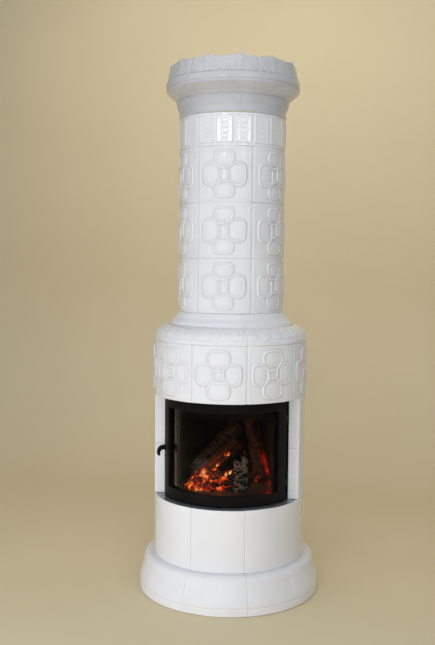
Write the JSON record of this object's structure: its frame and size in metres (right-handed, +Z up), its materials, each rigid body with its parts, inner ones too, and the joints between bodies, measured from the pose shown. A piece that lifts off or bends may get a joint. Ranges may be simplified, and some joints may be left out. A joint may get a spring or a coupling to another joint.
{
  "type": "tiled stove",
  "caption": "Round white glazed tile stove with a slim relief column, moulded foot and crown, and a fire insert behind a curved glass door.",
  "frame": {"origin": "on the floor at the centre of the round foot", "axes": "+Z up, front with the door towards -Y, flue outlet towards +Y"},
  "size_m": [0.742, 0.7419, 2.127],
  "materials": {
    "white_glaze": "glossy white glaze",
    "black_steel": "satin heat-proof paint",
    "bare_steel": "mill finish",
    "cast_iron": "as cast",
    "refractory": "pressed, sooty",
    "curved_glass": "clear ceramic glass",
    "sealing_rope": "braided glass fibre",
    "log_wood": "charred bark and split wood",
    "embers": "glowing"
  },
  "bodies": {
    "root": {"plinth_tiles": "white_glaze", "lower_tiles": "white_glaze", "side_tiles_lower": "white_glaze", "side_tiles_upper": "white_glaze", "jamb_tiles_left": "white_glaze", "jamb_tiles_right": "white_glaze", "header_tiles": "white_glaze", "shoulder_tiles": "white_glaze", "column_tiles_lower": "white_glaze", "column_tiles_middle": "white_glaze", "column_tiles_upper": "white_glaze", "frieze_tiles": "white_glaze", "cornice_tiles": "white_glaze", "crest_tiles": "white_glaze", "front_frame": "black_steel", "firebox_shell": "black_steel", "air_wash_channel": "black_steel", "hinge_pins": "black_steel", "latch_keeper": "black_steel", "flue_collar": "black_steel", "flue_pipe": "black_steel", "flue_elbow": "black_steel", "flue_outlet": "black_steel", "air_box": "black_steel", "shutter_guides": "black_steel", "levelling_feet": "bare_steel", "insert_stand": "bare_steel", "lintel_ring": "bare_steel", "column_carrier": "bare_steel", "body_tile_clamps": "bare_steel", "column_tile_clamps": "bare_steel", "ash_pan": "bare_steel", "top_cover": "bare_steel", "grate": "cast_iron", "hearth_floor": "refractory", "lining_left": "refractory", "lining_right": "refractory", "lining_back": "refractory", "baffle_plate": "refractory", "thermal_mass_rings": "refractory", "base_slab": "refractory", "outlet_seal": "sealing_rope", "firewood": "log_wood", "ember_bed": "embers"},
    "door": {"door_frame": "black_steel", "door_glass": "curved_glass", "glass_gasket": "sealing_rope", "door_gasket": "sealing_rope", "glass_clips": "bare_steel", "clip_screws": "bare_steel"},
    "handle": {"handle_lever": "black_steel", "handle_spindle": "bare_steel", "latch_tongue": "bare_steel", "spindle_nut": "bare_steel"},
    "air_control": {"air_shutter": "black_steel"}
  },
  "joints": [
    {"name": "door_hinge", "type": "hinge", "parent": "root", "child": "door", "pos_m": [0.246, -0.113, 0.598], "axis": [0, 0, 1], "range_deg": [0, 105]},
    {"name": "handle_turn", "type": "hinge", "parent": "door", "child": "handle", "pos_m": [-0.23567, -0.15304, 0.597], "axis": [0.8387, 0.5446, 0], "range_deg": [0, 80]},
    {"name": "air_shutter_turn", "type": "hinge", "parent": "root", "child": "air_control", "pos_m": [0, 0, 0.352], "axis": [0, 0, 1], "range_deg": [0, 6]}
  ]
}
